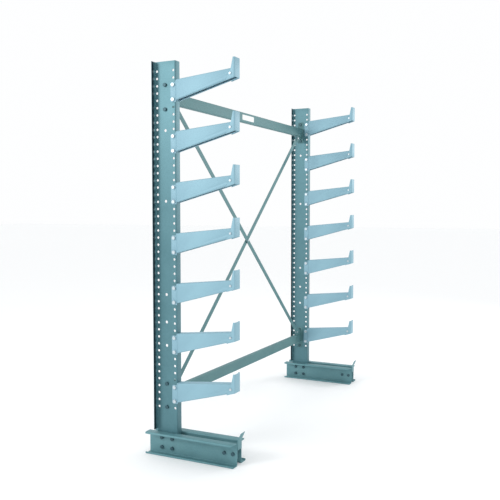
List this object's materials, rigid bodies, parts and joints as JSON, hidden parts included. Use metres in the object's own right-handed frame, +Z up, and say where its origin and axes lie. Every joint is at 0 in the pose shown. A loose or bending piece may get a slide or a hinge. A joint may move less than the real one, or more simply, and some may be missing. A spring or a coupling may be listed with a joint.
{
  "type": "cantilever rack",
  "caption": "One-sided cantilever rack with two perforated columns on channel feet, tapered arms with bolted tip stops, and a beam and cross brace bay.",
  "frame": {"origin": "on the floor, at the centre of the bounding box seen from above", "axes": "+X along the rack from the left column to the right one, -Y the way the arms point, +Z up"},
  "size_m": [2.6906, 0.729, 2.75],
  "materials": {
    "column_steel": "galvanised, satin",
    "arm_paint": "pale blue-grey, satin",
    "foot_steel": "galvanised, satin",
    "beam_steel": "galvanised, satin",
    "zinc": "bright zinc",
    "label": "matt, blank"
  },
  "bodies": {
    "root": {"column_left": "column_steel", "foot_outer_left": "foot_steel", "foot_inner_left": "foot_steel", "foot_stop_left": "foot_steel", "arm_left_1": "arm_paint", "arm_stop_left_1": "arm_paint", "stop_bolt_left_1": "zinc", "arm_left_2": "arm_paint", "arm_stop_left_2": "arm_paint", "stop_bolt_left_2": "zinc", "arm_left_3": "arm_paint", "arm_stop_left_3": "arm_paint", "stop_bolt_left_3": "zinc", "arm_left_4": "arm_paint", "arm_stop_left_4": "arm_paint", "stop_bolt_left_4": "zinc", "arm_left_5": "arm_paint", "arm_stop_left_5": "arm_paint", "stop_bolt_left_5": "zinc", "arm_left_6": "arm_paint", "arm_stop_left_6": "arm_paint", "stop_bolt_left_6": "zinc", "arm_left_7": "arm_paint", "arm_stop_left_7": "arm_paint", "stop_bolt_left_7": "zinc", "bracket_top_left": "beam_steel", "bracket_bottom_left": "beam_steel", "column_right": "column_steel", "foot_outer_right": "foot_steel", "foot_inner_right": "foot_steel", "foot_stop_right": "foot_steel", "arm_right_1": "arm_paint", "arm_stop_right_1": "arm_paint", "stop_bolt_right_1": "zinc", "arm_right_2": "arm_paint", "arm_stop_right_2": "arm_paint", "stop_bolt_right_2": "zinc", "arm_right_3": "arm_paint", "arm_stop_right_3": "arm_paint", "stop_bolt_right_3": "zinc", "arm_right_4": "arm_paint", "arm_stop_right_4": "arm_paint", "stop_bolt_right_4": "zinc", "arm_right_5": "arm_paint", "arm_stop_right_5": "arm_paint", "stop_bolt_right_5": "zinc", "arm_right_6": "arm_paint", "arm_stop_right_6": "arm_paint", "stop_bolt_right_6": "zinc", "arm_right_7": "arm_paint", "arm_stop_right_7": "arm_paint", "stop_bolt_right_7": "zinc", "bracket_top_right": "beam_steel", "bracket_bottom_right": "beam_steel", "beam_top": "beam_steel", "beam_bottom": "beam_steel", "brace_front": "beam_steel", "brace_rear": "beam_steel", "brace_bolt": "zinc", "label": "label"}
  },
  "joints": []
}
